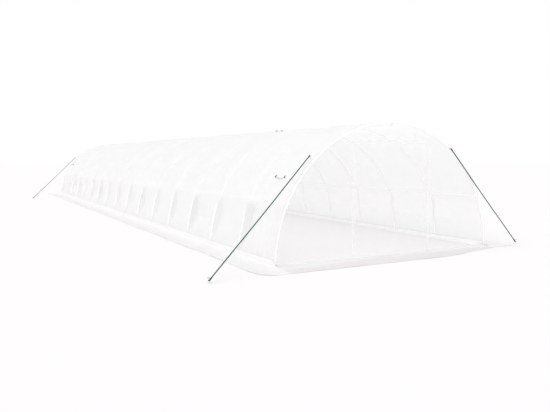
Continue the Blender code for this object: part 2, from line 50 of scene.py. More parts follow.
# The solids' own sizes, in metres
BAY = 1.125
BAYS = 16
HALF_LENGTH = BAY * BAYS / 2
CLEARANCE = 0.0003
TUBE_RADIUS = 0.0125
FILM = 0.002
COVER_RADIUS = 2.0
FACET_ANGLE = math.pi / 17
FACET_COS = math.cos(FACET_ANGLE / 2)
TUBE_DEPTH = FILM + CLEARANCE + TUBE_RADIUS
PANEL_INNER = HALF_LENGTH + TUBE_RADIUS + CLEARANCE
PANEL_OUTER = PANEL_INNER + FILM
FLAP_INNER = PANEL_OUTER + CLEARANCE
DOOR_HALF = 0.70
DOOR_HEIGHT = 1.70
FLAP_HALF = 0.715
FLAP_TOP = 1.715
FLAP_FOOT = 0.008
SKIRT_END = PANEL_OUTER + 0.19
SKIRT_SIDE = 2.43
SKIRT_FRONT = 9.495
TIE_SPACING = 0.84
TIE_LOW = FLAP_TOP + 0.006
TIE_LENGTH = 0.110
TIE_WIDTH, TIE_THICKNESS = 0.025, 0.0020
ENDS = (("front", -1), ("rear", 1))
SIDES = (("left", -1), ("right", 1))
UP = (0, 0, 1)

# How high the upright films and those on the ground start
FILM_FOOT = 0.0023
GROUND = 0.0012

# The aprons: the wall's face, the rise against it, and where this is let down before the corners
WALL_FACE = 2.002
SKIRT_RISE = {-1: 0.084, 1: 0.062}
RISE_END = (8.99, 9.035)

# The cover: the height from which its roof dips in full, and the heights at which the pockets of
# its walls are full, start to wane and end
ROOF_FULL = 0.95
POCKET_FULL, POCKET_WANE, POCKET_END = 0.50, 0.36, 0.86

# The steep side of the pockets: its width at the ground, the height up to which it widens, by how
# much it does in each bay of the left wall and in any of the right, and where its folds and the
# painted shade on them end
STEEP_FOOT, STEEP_FULL = 0.03, 0.75
STEEP_LEFT = np.array([0.25, 0.17, 0.15] + [0.14] * (BAYS - 3))
STEEP_RIGHT = 0.14
FOLD_AND_SHADE_END = (0.76, 0.80)

# The crease at the front left foot: its start behind the arch, its slant, depth and two widths
CREASE_START, CREASE_SLANT, CREASE_DEPTH = 0.03, 0.46, 0.020
CREASE_BEFORE, CREASE_BEHIND = 0.11, 0.035

# The guy ropes' route, as the solids have it
ROPE_DIAMETER = 0.016
ROPE_SAG = 0.008
ROPE_END_HEIGHT = 0.030
BRAID_PITCH = 0.048
EYE_ROPE_RADIUS = 0.0058
LOOP_LENGTH = 0.036
LOOP_WIDTH = 0.028
LOOP_WEBBING = 0.0022
LOOP_THICKNESS = ROPE_DIAMETER + 0.002
ROPE_PLANE = FLAP_INNER + LOOP_THICKNESS / 2
STAKE_RADIUS = 0.004
STAKE_STEM = 0.056
STAKE_BEND = 0.013
STAKE_TURN = math.radians(205)

# Guys: side, end, angle of the loop on the arch, the stake's way out from the cover and ahead of
# the end, and how far behind the end arch the loop is, or None for one on the end panel
GUYS = {
    "front_left": (-1, -1, 47.0, 1.128, 0.478, 0.09),
    "front_right": (1, -1, 55.5, 0.680, 0.040, None),
    "rear_left": (-1, 1, 46.0, 1.345, -2.690, None),
    "rear_right": (1, 1, 46.0, 1.345, -2.690, None),
}

# Straps on the cover: end, distance behind the end arch, length, angle on the arch and slack
STRAPS = {
    "shoulder_strap_front": (-1, 0.395, 0.285, 36.6, 0.034),
    "shoulder_strap_rear": (1, 0.395, 0.285, 36.6, 0.034),
    "ridge_strap": (-1, 2.830, 0.220, 80.5, 0.0),
}

# The width is that between the toggles
STRAP_WIDTH, STRAP_THICKNESS = 0.022, 0.0024

# How far the solid cover dips between two arches, with the straps on it
SOLID_DIP = 0.020

# Outlines of a guy loop's webbing, along its way and off it: sewn flat to the end panel with its
# bight standing off at the tip, or with two tails sewn to the cover and the bight between them
FLAT_LOOP = [(-0.014, 0.0012), (0.0, 0.0012), (0.012, 0.0014), (0.024, 0.0024), (0.0315, 0.0042),
             (0.0345, 0.0090), (0.0315, 0.0138), (0.024, 0.0150), (0.012, 0.0105), (0.002, 0.0048),
             (-0.005, 0.0036), (-0.014, 0.0036)]
STANDING_HALF = [(0.0005, -0.024), (0.0012, -0.012), (0.005, -0.0030), (0.014, -0.0050),
                 (0.026, -0.0072), (0.0325, -0.0052)]
STANDING_LOOP = STANDING_HALF + [(0.0345, 0.0)] + [(a, -b) for a, b in STANDING_HALF[::-1]]

# A door tie's webbing, off the panel and up: down it, round under the toggle and up to the seam
TIE_OUTLINE = [(0.0012, TIE_LENGTH), (0.0012, 0.080), (0.0012, 0.045), (0.0012, 0.022),
               (0.0030, 0.0095), (0.0046, 0.0020), (0.0084, 0.0004), (0.0122, 0.0028),
               (0.0125, 0.0090), (0.0080, 0.0170), (0.0034, 0.0260), (0.0034, 0.046)]

# A foot wrap's curve, out from the tent's middle and up: from the ground before the rail to its top
WRAP_OUTLINE = [(1.8700, GROUND), (1.9000, 0.0032), (1.9230, 0.0110), (1.9360, 0.0250),
                (1.9410, 0.0420), (1.9440, 0.0570), (1.9520, 0.0665), (1.9690, 0.0680)]

# Where its ends start to turn, the length of the turn and the wall they turn to
WRAP_END = 8.985
WRAP_TURN = 0.0015
WRAP_WALL = 1.985

# Shares of a toggle's length and the radius there, up to its middle, and of a stitch's length and
# its rise
BARREL = np.array([(0.0, 0.35), (0.012, 0.72), (0.04, 0.92), (0.09, 1.0), (0.22, 1.0),
                   (0.30, 0.94), (0.35, 0.80), (0.39, 0.70), (0.43, 0.66)])
STITCH = np.array([(0, -0.6), (0.12, 0.6), (0.5, 1.0), (0.88, 0.6), (1, -0.6)])


def linear(code):
    """An sRGB hex colour as linear red, green, blue and 1."""
    values = np.array([int(code[n:n + 2], 16) for n in (1, 3, 5)]) / 255
    values = np.where(values <= 0.04045, values / 12.92, ((values + 0.055) / 1.055) ** 2.4)
    return (*values.tolist(), 1.0)


# Settings

class TentSizes(bpy.types.PropertyGroup):
    """Sizes of the tent's soft pieces."""
    arch_radius: bpy.props.FloatProperty(
        name="Arch radius", description="Middle line of each bent tube", default=1.9775,
        unit="LENGTH")
    leg_spread: bpy.props.FloatProperty(
        name="Leg spread", description="How far the tube's feet stand outside its circle",
        default=0.0076, unit="LENGTH")
    roof_dip: bpy.props.FloatProperty(
        name="Roof dip", description="Dip of the film between two arches over the side bars",
        default=0.020, unit="LENGTH")
    wall_dip: bpy.props.FloatProperty(
        name="Wall dip", description="Dip of the film between two arches below the side bars",
        default=0.095, unit="LENGTH")
    panel_fold: bpy.props.FloatProperty(
        name="Panel fold", description="Depth of the folds in the end panels and doors",
        default=0.010, unit="LENGTH")


class TentColours(bpy.types.PropertyGroup):
    """Colours of the tent's finishes."""
    steel: bpy.props.FloatVectorProperty(
        name="Tube", description="Powder coat of the arches and bars", subtype="COLOR",
        default=linear("#FDFDFC")[:3], min=0, max=1)
    film: bpy.props.FloatVectorProperty(
        name="Film", description="Laminated film of cover and ends", subtype="COLOR",
        default=linear("#F8F8F8")[:3], min=0, max=1)
    skirt: bpy.props.FloatVectorProperty(
        name="Skirt", description="Film aprons on the ground", subtype="COLOR",
        default=linear("#F8F7F7")[:3], min=0, max=1)
    rope: bpy.props.FloatVectorProperty(
        name="Rope", description="Braided guy ropes", subtype="COLOR",
        default=linear("#1F5A44")[:3], min=0, max=1)
    webbing: bpy.props.FloatVectorProperty(
        name="Webbing", description="Straps on the cover", subtype="COLOR",
        default=linear("#D3D5D6")[:3], min=0, max=1)


# Numbers

def unit(vectors):
    """One vector or many, brought to length 1."""
    return vectors / np.linalg.norm(vectors, axis=-1, keepdims=True)


def stacked(*parts):
    """Arrays and numbers side by side, as the last axis of one array."""
    return np.stack(np.broadcast_arrays(*parts), axis=-1).astype(float)


def distance(route):
    """The way from a route's start to each of its points."""
    step = np.linalg.norm(np.diff(route, axis=0), axis=1)
    return np.concatenate([[0], np.cumsum(step)])


def smoothstep(low, high, value):
    """0 below low, 1 above high and a smooth rise between them."""
    share = np.clip((value - low) / (high - low), 0, 1)
    return share * share * (3 - 2 * share)


def waves(seed, *coordinates):
    """Uneven waves between about -1 and 1: a sum of sines in seeded directions and phases."""
    chance = np.random.RandomState(seed)
    total = 0.0
    for octave in range(5):
        phase = chance.uniform(0, 2 * math.pi)
        pull = chance.uniform(-1, 1, len(coordinates))
        pull *= 1.5 ** octave / np.linalg.norm(pull)
        angle = sum(p * c for p, c in zip(pull, coordinates))
        total = total + np.sin(2 * math.pi * angle + phase) / 1.35 ** octave
    return total / 2.6


def wander(position, scale):
    """The solids' own uneven wave between 0 and 1, for the cut edge of the aprons."""
    return 0.5 + 0.3 * np.sin(position * 2.3 / scale) + 0.2 * np.sin(position * 5.9 / scale + 1.1)


def smooth_route(points, count):
    """A smooth line through a few points: a Catmull-Rom spline with even parameter steps."""
    p = np.asarray(points, float)
    p = np.concatenate([2 * p[:1] - p[1:2], p, 2 * p[-1:] - p[-2:-1]])
    t = np.linspace(0, len(p) - 3, count)
    k = np.minimum(t.astype(int), len(p) - 4)
    f = (t - k)[:, None]
    a, b, c, d = p[k], p[k + 1], p[k + 2], p[k + 3]
    return 0.5 * (2 * b + (c - a) * f + (2 * a - 5 * b + 4 * c - d) * f ** 2
                  + (3 * b - a - 3 * c + d) * f ** 3)


# Bodies: each is its points, its faces and a UV per point

def grid_faces(rows, columns, closed=False):
    """Quads between the rows and columns of a grid; closed joins the last column to the first."""
    index = np.arange(rows * columns).reshape(rows, columns)
    if closed:
        index = np.concatenate([index, index[:, :1]], axis=1)
    a, b, c, d = index[:-1, :-1], index[:-1, 1:], index[1:, 1:], index[1:, :-1]
    return np.stack([a, b, c, d], axis=-1).reshape(-1, 4)


def sheet(points, uv, flip=False):
    """A sheet from a grid of points; uv is in metres across the cloth."""
    faces = grid_faces(*points.shape[:2])
    return points, (faces[:, ::-1] if flip else faces).tolist(), uv


def loft(rings, uv):
    """A closed body through rings of points that run counterclockwise about the way forward."""
    count, sides = rings.shape[:2]
    faces = grid_faces(count, sides, closed=True)[:, ::-1].tolist()
    caps = [list(range(sides)), list(range((count - 1) * sides, count * sides))[::-1]]
    return rings, faces + caps, uv


def band(route, across, width, thickness):
    """A webbing strap along a route, flat with half-round selvedges.

    Each ring is centre + a · across + b · normal, where (a, b) runs round a stadium of the strap's
    width and thickness. UV is metres across and along the strap.
    """
    across = np.broadcast_to(np.asarray(across, float), route.shape)
    normal = unit(np.cross(across, unit(np.gradient(route, axis=0))))
    turn = np.radians(np.concatenate([np.linspace(90, -90, 7), np.linspace(270, 90, 7)]))
    half = (np.broadcast_to(width, len(route)) - thickness)[:, None] / 2
    a = np.repeat([1, -1], 7) * half + thickness / 2 * np.cos(turn)
    b = np.broadcast_to(thickness / 2 * np.sin(turn), a.shape)
    rings = route[:, None] + a[..., None] * across[:, None] + b[..., None] * normal[:, None]
    return loft(rings, stacked(a, distance(route)[:, None]))


def sweep(path, radius, sides, across):
    """A round rod along a path that lies in one plane.

    Each ring is centre + r (cos a · normal + sin a · side), where the normal is across × tangent,
    and radius may change from ring to ring and round each ring. Both ends are closed.
    """
    tangent = unit(np.gradient(path, axis=0))
    normal = unit(np.cross(across, tangent))[:, None]
    side = np.cross(tangent[:, None], normal)
    angle = np.arange(sides) * 2 * math.pi / sides
    reach = radius if np.ndim(radius) == 2 else np.reshape(radius, (-1, 1))
    reach = np.broadcast_to(reach, (len(path), sides))[..., None]
    out = np.cos(angle)[:, None] * normal + np.sin(angle)[:, None] * side
    uv = stacked(angle / (2 * math.pi), distance(path)[:, None])
    return loft(path[:, None] + reach * out, uv)


def stitches(corner, one, other, lift, count):
    """Two rows of sewing stitches: short arched threads that lie on a strap.

    The rows start at the corner and run along one, spaced by other; lift points off the strap.
    """
    arch = STITCH[:, :1] * 0.7 * one + STITCH[:, 1:] * lift
    return [sweep(corner + row * other + number * one + arch, 0.0005, 6, unit(np.cross(one, lift)))
            for row in range(2) for number in range(count)]


def barrel(centre, axis, across, length, radius):
    """A turned toggle: a barrel with rounded ends and a waist."""
    profile = np.concatenate([BARREL, BARREL[::-1] * (-1, 1) + (1, 0)])
    path = np.asarray(centre) + (profile[:, :1] - 0.5) * length * np.asarray(axis)
    return sweep(path, profile[:, 1] * radius, 20, across)


def object_from(name, bodies, material, sharp=None):
    """A smooth-shaded object from bodies; edges over sharp degrees stay hard."""
    points, faces, start = [], [], 0
    for places, quads, _ in bodies:
        points += places.reshape(-1, 3).tolist()
        faces += [[start + corner for corner in quad] for quad in quads]
        start = len(points)
    mesh = bpy.data.meshes.new(name)
    mesh.from_pydata(points, [], faces)
    mesh.shade_smooth()
    corner = np.empty(len(mesh.loops), np.int32)
    mesh.loops.foreach_get("vertex_index", corner)
    uv = np.concatenate([places.reshape(-1, 2) for _, _, places in bodies])
    mesh.uv_layers.new(name="UVMap").data.foreach_set("uv", uv[corner].ravel())
    if sharp:
        mesh.set_sharp_from_angle(angle=math.radians(sharp))
    mesh.materials.append(material)
    made = bpy.data.objects.new(name, mesh)
    bpy.context.scene.collection.objects.link(made)
    return made


def add_piece(name, bodies, material, slot, replaces=None, body="tent", sharp=None):
    """Make a piece that rides on its body and stands for a solid."""
    piece = object_from(name, bodies, material, sharp)
    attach(piece, body)
    if replaces:
        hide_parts(replaces)
    return piece


def add_strap(name, body, webbing, seams, toggles=None):
    """A webbing strap that stands for its solid, its toggles and the stitches of its seams."""
    add_piece(name + "_band", [body], webbing, "webbing", name, sharp=60)
    if toggles:
        add_piece(**toggles)
    threads = [thread for seam in seams for thread in stitches(*seam)]
    add_piece(name + "_seam", threads, finish("twisted_polyester_thread", sewing_thread),
              "webbing", sharp=45)


def mark(piece, name, values):
    """Give a piece's points an attribute that its material reads."""
    piece.data.attributes.new(name, "FLOAT", "POINT").data.foreach_set("value", values.ravel())


def coat(names, material):
    """Put a material on solids that stay in sight."""
    for name in names:
        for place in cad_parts[name].material_slots:
            place.material = material


# Materials: each function adds its nodes to a tree and gives the shader

def node(tree, kind, inputs=(), output=0, **settings):
    """Add one shader node with its settings, and give one of its outputs.

    Inputs come in order or by name. One that is given another node's output is linked to it, and
    any other takes the value.
    """
    made = tree.nodes.new("ShaderNode" + kind)
    for name, value in settings.items():
        setattr(made, name, value)
    for name, value in inputs.items() if isinstance(inputs, dict) else enumerate(inputs):
        if isinstance(value, bpy.types.NodeSocket):
            tree.links.new(value, made.inputs[name])
        else:
            made.inputs[name].default_value = value
    return made.outputs[output] if made.outputs else made


def finish(name, build, *values, **options):
    """The material of this name, which build makes the first time."""
    material = bpy.data.materials.get(name)
    if material is None:
        material = bpy.data.materials.new(name)
        material.use_nodes = True
        tree = material.node_tree
        tree.nodes.clear()
        node(tree, "OutputMaterial", {"Surface": build(tree, *values, **options)})
    return material


def shaded(colour, factor=1.0):
    """A colour made darker by a factor."""
    return (*[c * factor for c in colour[:3]], 1.0)


def surface(tree, factor, one, other, rough, bump=None, more=()):
    """A Principled shader whose colour goes from one to the other by a factor.

    A bump is its strength, its height in metres and where it stands out; more names other inputs.
    """
    inputs = {"Roughness": rough, **dict(more)}
    inputs["Base Color"] = node(tree, "Mix", {0: factor, 6: one, 7: other}, 2, data_type="RGBA")
    if bump:
        inputs["Normal"] = node(tree, "Bump", dict(zip(("Strength", "Distance", "Height", "Normal"),
                                                       bump)))
    return node(tree, "BsdfPrincipled", inputs)


def powder_coated_steel(tree, colour):
    """Powder-coated steel, sprayed and baked: an even satin skin with a faint orange peel."""
    place = node(tree, "TexCoord", output="Object")
    # Orange peel is about 2 mm from crest to crest; 6 mm here, so that it shows close up
    peel = node(tree, "TexNoise", {"Vector": place, "Scale": 1 / 0.006}, "Fac")
    # Handling marks and dust, 200 mm apart
    dust = node(tree, "TexNoise", {"Vector": place, "Scale": 1 / 0.2, "Detail": 4.0}, "Fac")
    tone = node(tree, "MapRange", {"Value": dust, "From Min": 0.35, "From Max": 0.75})
    rough = node(tree, "MapRange", {"Value": dust, "To Min": 0.34, "To Max": 0.48})
    return surface(tree, tone, shaded(colour), shaded(colour, 0.985), rough, (0.12, 0.0004, peel),
                   {"Coat Weight": 1.0, "Coat Roughness": 0.12})


def laminated_film(tree, colour, clearness, thread, crease, back=0.5, roughness=0.4, dust=None,
                   hems=()):
    """Polyethylene film, woven from flat tapes and laminated: milky, with a square thread grid.

    Light passes straight through by clearness to the power 1 / cosine, as through any thin cloudy
    sheet, so that a sheet seen edge on is nearly opaque; the rest scatters to both sides. Each hem
    is a band of more layers, given by a UV axis, its middle, half its width and how many more.
    """
    uv = node(tree, "TexCoord", output="UV")
    # Reinforcing threads about 10 mm apart, each near 1 mm wide
    grid = node(tree, "TexBrick", {
        "Vector": uv, "Scale": 1.0, "Mortar Size": 0.0006, "Mortar Smooth": 0.6,
        "Brick Width": 0.010, "Row Height": 0.010}, "Fac", offset=0.0)
    # Cloudiness 600 mm across, and crumples 110 mm across
    cloud = node(tree, "TexNoise", {"Vector": uv, "Scale": 1 / 0.6, "Detail": 3.0}, "Fac")
    crumple = node(tree, "TexNoise", {"Vector": uv, "Scale": 1 / 0.11, "Detail": 3.0,
                                      "Roughness": 0.6, "Distortion": 1.2}, "Fac")
    # The way through is 1 / cosine of the angle between the line of sight and the normal
    facing = node(tree, "LayerWeight", output="Facing")
    cosine = node(tree, "Math", [1.0, facing], operation="SUBTRACT")
    cosine = node(tree, "Math", [cosine, 0.06], operation="MAXIMUM")
    way = node(tree, "Math", [1.0, cosine], operation="DIVIDE")
    clear = node(tree, "MapRange", {
        "Value": cloud, "From Min": 0.3, "From Max": 0.7, "To Min": clearness - 0.03,
        "To Max": min(clearness + 0.03, 0.97)})
    # Where the sheet is folded double, little passes straight through, and the tint there is also
    # darkened as painted shade
    fold_and_shade = node(tree, "Attribute", output="Fac", attribute_name="fold_and_shade")
    way = node(tree, "Math", [fold_and_shade, 2.5, way], operation="MULTIPLY_ADD")
    axes = node(tree, "SeparateXYZ", [uv]).node.outputs
    for axis, middle, half, layers in hems:
        inside = node(tree, "Math", [axes[axis], middle, half], operation="COMPARE")
        way = node(tree, "Math", [inside, layers, way], operation="MULTIPLY_ADD")
    straight = node(tree, "Math", [clear, way], operation="POWER")
    milk = node(tree, "Math", [straight, -1.0, 1.0], operation="MULTIPLY_ADD")
    threads = node(tree, "Math", [grid, thread], operation="MULTIPLY")
    milk = node(tree, "Math", [milk, threads], operation="ADD", use_clamp=True)
    relief = node(tree, "Math", [threads, 5.0], operation="MULTIPLY")
    height = node(tree, "Math", [crumple, crease, relief], operation="MULTIPLY_ADD")
    bump = node(tree, "Bump", {"Strength": 0.25, "Distance": 0.0006, "Height": height})
    tint = node(tree, "Mix", {0: cloud, 6: shaded(colour), 7: shaded(colour, 0.985)}, 2,
                data_type="RGBA")
    # Painted shade: the film is tinted darker beside the arches, where the sheet is folded
    tint = node(tree, "Mix", {0: fold_and_shade, 6: tint, 7: shaded(colour, 0.84)}, 2, data_type="RGBA")
    if dust:
        # Painted shade darkens the apron where its attribute says, in uneven patches 150 mm apart
        patch = node(tree, "TexNoise", {"Vector": uv, "Scale": 1 / 0.15, "Detail": 4.0}, "Fac")
        patch = node(tree, "MapRange", {"Value": patch, "From Min": 0.3, "From Max": 0.6,
                                        "To Min": 0.75})
        laid = node(tree, "Attribute", output="Fac", attribute_name="dust")
        share = node(tree, "Math", [laid, patch], operation="MULTIPLY")
        tint = node(tree, "Mix", {0: share, 6: tint, 7: linear(dust)}, 2, data_type="RGBA")
    front = node(tree, "BsdfPrincipled", {
        "Base Color": tint, "Roughness": roughness, "IOR": 1.45, "Normal": bump})
    through = node(tree, "BsdfTranslucent", {"Color": tint, "Normal": bump})
    milky = node(tree, "MixShader", [back, front, through])
    return node(tree, "MixShader", [milk, node(tree, "BsdfTransparent"), milky])


# The foot of the ends, folded over and over
FOOT_HEM = ("Y", 0.0, 0.032, 30.0)


def cover_film(colours):
    """Cover: milky film that the arches show through, hemmed at both ends."""
    return finish("woven_laminated_film", laminated_film, colours.film, 0.51, 0.20, 0.6, back=0.58,
                  hems=[("Y", end * HALF_LENGTH, 0.025, 4.0) for end in (-1, 1)])


def end_film(colours):
    """End panels: clearer, glossier film with a folded and welded foot."""
    return finish("clear_laminated_film", laminated_film, colours.film, 0.93, 0.02, 0.8,
                  roughness=0.25, hems=[FOOT_HEM])


def door_film(colours):
    """Door flaps: the clear film, hemmed all round."""
    return finish("clear_hemmed_door_film", laminated_film, colours.film, 0.93, 0.02, 0.8,
                  roughness=0.25, hems=[FOOT_HEM, ("Y", FLAP_TOP, 0.03, 4.0),
                                        ("X", -FLAP_HALF, 0.03, 4.0), ("X", FLAP_HALF, 0.03, 4.0)])


def side_skirt_film(colours):
    """Side aprons: creased film, nearly opaque, with a pale grey painted shade along the outer
    edge.
    """
    return finish("creased_dusty_skirt_film", laminated_film, colours.skirt, 0.12, 0.20, 1.0,
                  back=0.13, dust="#F0F0EF")


def end_skirt_film(colours):
    """End aprons: the same film, with a warmer painted shade nearly all over."""
    return finish("creased_end_skirt_film_painted_shade", laminated_film, colours.skirt, 0.12, 0.20, 1.0,
                  back=0.2, dust="#EFEAEB")


def hem_film(colours):
    """Foot wraps and door hems: film folded double and welded, so milky and bright."""
    return finish("welded_hem_film", laminated_film, colours.film, 0.05, 0.10, 0.4, back=0.05)


def woven_webbing(tree, colour):
    """Polypropylene webbing, flat-woven: ribs across the strap with painted shade between them,
    matt with a faint sheen.
    """
    uv = node(tree, "TexCoord", output="UV")
    # Weft ribs are 1.6 mm apart, warp ends 1.2 mm
    ribs = node(tree, "TexWave", {"Vector": uv, "Scale": math.pi / 10 / 0.0016, "Distortion": 0.4},
                "Fac", bands_direction="Y")
    warp = node(tree, "TexWave", {"Vector": uv, "Scale": math.pi / 10 / 0.0012, "Distortion": 0.4},
                "Fac", bands_direction="X")
    weave_and_shade = node(tree, "Math", [ribs, warp], operation="MULTIPLY")
    # Painted shade: the colour darkens between the ribs and the warp ends
    return surface(tree, weave_and_shade, shaded(colour, 0.86), shaded(colour), 0.72, (0.5, 0.0005, weave_and_shade),
                   {"Sheen Weight": 0.2, "Sheen Roughness": 0.4})


def white_webbing():
    """The undyed webbing of ties and guy loops."""
    return finish("white_woven_webbing", woven_webbing, linear("#FBFBFA"))


def braided_rope(tree, colour):
    """Polypropylene rope, braided from flat yarns: crossing strands with painted shade and
    highlights.
    """
    axes = node(tree, "SeparateXYZ", [node(tree, "TexCoord", output="UV")]).node.outputs
    # Strands cross every 12 mm along the rope, eight round it
    turn = node(tree, "Math", [axes["X"], 8 * math.pi], operation="MULTIPLY")
    run = node(tree, "Math", [axes["Y"], 4 * math.pi / BRAID_PITCH], operation="MULTIPLY")
    one = node(tree, "Math", [turn, run], operation="ADD")
    two = node(tree, "Math", [turn, run], operation="SUBTRACT")
    one, two = [node(tree, "Math", [angle], operation="SINE") for angle in (one, two)]
    braid = node(tree, "Math", [one, two], operation="MULTIPLY")
    # Painted shade in the grooves between the strands and a painted highlight on their crests: the
    # colour follows the braid
    level = node(tree, "MapRange", {"Value": braid, "From Min": -1.0, "From Max": 1.0})
    return surface(tree, level, shaded(colour, 0.55), shaded(colour), 0.62, (0.6, 0.001, level))


def zinc_plated_steel(tree):
    """Steel rod, zinc-plated: bright grey with cloudy crystals and duller patches."""
    place = node(tree, "TexCoord", output="Object")
    # Spangle 6 mm across, and patches of 30 mm
    spangle = node(tree, "TexVoronoi", {"Vector": place, "Scale": 1 / 0.006}, "Color")
    grain = node(tree, "TexNoise", {"Vector": place, "Scale": 1 / 0.03, "Detail": 4.0}, "Fac")
    both = node(tree, "Math", [spangle, 0.3, grain], operation="MULTIPLY_ADD")
    rough = node(tree, "MapRange", {"Value": both, "To Min": 0.28, "To Max": 0.5})
    return surface(tree, both, linear("#A9ACAE"), linear("#D2D4D6"), rough, more={"Metallic": 1.0})


def moulded_plastic(tree, light, dark, roughness, teeth=None):
    """Injection-moulded plastic: even colour, a fine eroded texture and soft gloss.

    Teeth of a zip are ribs across its height, at the given pitch. Thick lacquer looks the same.
    """
    place = node(tree, "TexCoord", output="Object")
    # Mould grain 1.5 mm, and patches of 40 mm
    grain = node(tree, "TexNoise", {"Vector": place, "Scale": 1 / 0.0015}, "Fac")
    patch = node(tree, "TexNoise", {"Vector": place, "Scale": 1 / 0.04, "Detail": 3.0}, "Fac")
    rough = node(tree, "MapRange", {"Value": patch, "To Min": roughness - 0.06,
                                    "To Max": roughness + 0.08})
    bump = (0.2, 0.0002, grain)
    if teeth:
        rib = node(tree, "TexWave", {"Vector": place, "Scale": math.pi / 10 / teeth}, "Fac",
                   bands_direction="Z")
        under = node(tree, "Bump", {"Strength": 0.2, "Distance": 0.0002, "Height": grain})
        bump = (0.35, 0.001, rib, under)
    return surface(tree, patch, linear(light), linear(dark), rough, bump)


def sewing_thread(tree):
    """Polyester sewing thread, twisted and waxed: white with painted shade in its twist and a soft
    shine.
    """
    uv = node(tree, "TexCoord", output="UV")
    # The twist of the yarn, 1.2 mm a turn, painted on as bands of shade
    twist_shade = node(tree, "TexWave", {"Vector": uv, "Scale": math.pi / 10 / 0.0012}, "Fac",
                 bands_direction="DIAGONAL")
    return surface(tree, twist_shade, linear("#DADADA"), linear("#FAFAFA"), 0.5,
                   more={"Sheen Weight": 0.3})


def seen_directly(tree):
    """1 for rays of the camera, of gloss and of glass, and 0 for those that only bring light."""
    rays = node(tree, "LightPath").node.outputs
    gloss = node(tree, "Math", [rays["Is Glossy Ray"], rays["Is Transmission Ray"]],
                 operation="MAXIMUM")
    return node(tree, "Math", [rays["Is Camera Ray"], gloss], operation="MAXIMUM")


def painted_floor(tree):
    """Pale studio floor: matt paint that keeps the tent's shadow and reads white to the camera."""
    share = node(tree, "Math", [seen_directly(tree), 0.025], operation="MULTIPLY")
    paint = node(tree, "BsdfDiffuse", {"Color": linear("#EBE9EA")})
    glow = node(tree, "Emission", {"Color": linear("#FFFFFF"), "Strength": share})
    return node(tree, "AddShader", [paint, glow])


# Shapes

def arch_radius_at(z, sizes):
    """Radius of the arches' middle line: a circle whose feet spread a little at the ground."""
    return sizes.arch_radius + sizes.leg_spread * np.exp(-z / 0.07)


def arch_tube(y, sizes):
    """A bent tube of round section, with a shallow ring where two lengths of it meet.

    Its middle line is x = -r cos a and z = r sin a, foot to foot.
    """
    angle = np.linspace(0, math.pi, 129)
    radius = arch_radius_at(sizes.arch_radius * np.sin(angle), sizes)
    joint = np.abs(np.degrees(angle)[:, None] - np.array([50.6, 129.4])).min(axis=1)
    return sweep(stacked(-radius * np.cos(angle), y, radius * np.sin(angle)),
                 TUBE_RADIUS - 0.0009 * (joint < 0.8), 16, (0, 1, 0))


def cover_dip(x_angle, z, y, sizes):
    """How far the film lies under its circle and from an arch, and how doubled and darkened as
    painted shade.

    Over the side bars it dips as a parabola between two arches, and hardly in the two end bays.
    Below them it is sucked in much deeper: from each arch it drops steeply on the side of the
    front end, over a width that grows with height, and comes back evenly to the arch before.
    """
    side = (x_angle > math.pi / 2).astype(int)
    run = (y + HALF_LENGTH) / BAY
    bay = np.clip(np.floor(run), 0, BAYS - 1).astype(int)
    share = 1 - np.abs(2 * (run - bay) - 1)
    before = (1 - (run - bay)) * BAY
    chance = np.random.RandomState(7)
    strength = chance.uniform(0.75, 1.15, (BAYS, 2))[bay, side]
    lift = chance.uniform(-0.05, 0.06, (BAYS, 2))[bay, side]
    roof = sizes.roof_dip * np.minimum(z / ROOF_FULL, 1) * (1 - (1 - share) ** 2)
    roof = roof * np.where((bay == 0) | (bay == BAYS - 1), 0.25, 1.0)
    bulge = smoothstep(0.0, POCKET_FULL, z) * (1 - smoothstep(POCKET_WANE, POCKET_END + lift, z))
    steep = np.where(side == 1, STEEP_RIGHT, STEEP_LEFT[bay])
    slope = STEEP_FOOT + steep * np.clip(z / STEEP_FULL, 0, 1)
    # The slack of the pocket is folded double beside the arch, more so at the front end, and is
    # darkened there as painted shade
    fold_and_shade = (1 - smoothstep(slope - 0.04, slope + 0.02, before)) * smoothstep(-0.01, 0.03, z)
    fold_and_shade = fold_and_shade * (1 - smoothstep(*FOLD_AND_SHADE_END, z)) * np.where(bay == 0, 0.70, 0.66 * strength)
    fold_and_shade = fold_and_shade * np.where(side == 1, 0.3, 1.0)
    drop = np.clip(before / slope, 0, 1)
    back = 1 - np.clip((before - slope) / (BAY - slope), 0, 1)
    pull = drop * (1.5 - 0.5 * drop ** 2) * back ** 0.9
    wall = 1.25 * sizes.wall_dip * strength * bulge * pull
    # A tight crease fans up and back from the foot of the front left leg
    past = y + HALF_LENGTH - (CREASE_START + CREASE_SLANT * z)
    crease = np.where(past < 0, 1 + past / CREASE_BEFORE, 1 - past / CREASE_BEHIND).clip(0, 1)
    crease = crease * (side == 0) * smoothstep(0.02, 0.14, z) * (1 - smoothstep(0.44, 0.62, z))
    return roof + wall - CREASE_DEPTH * crease, share * BAY / 2, fold_and_shade


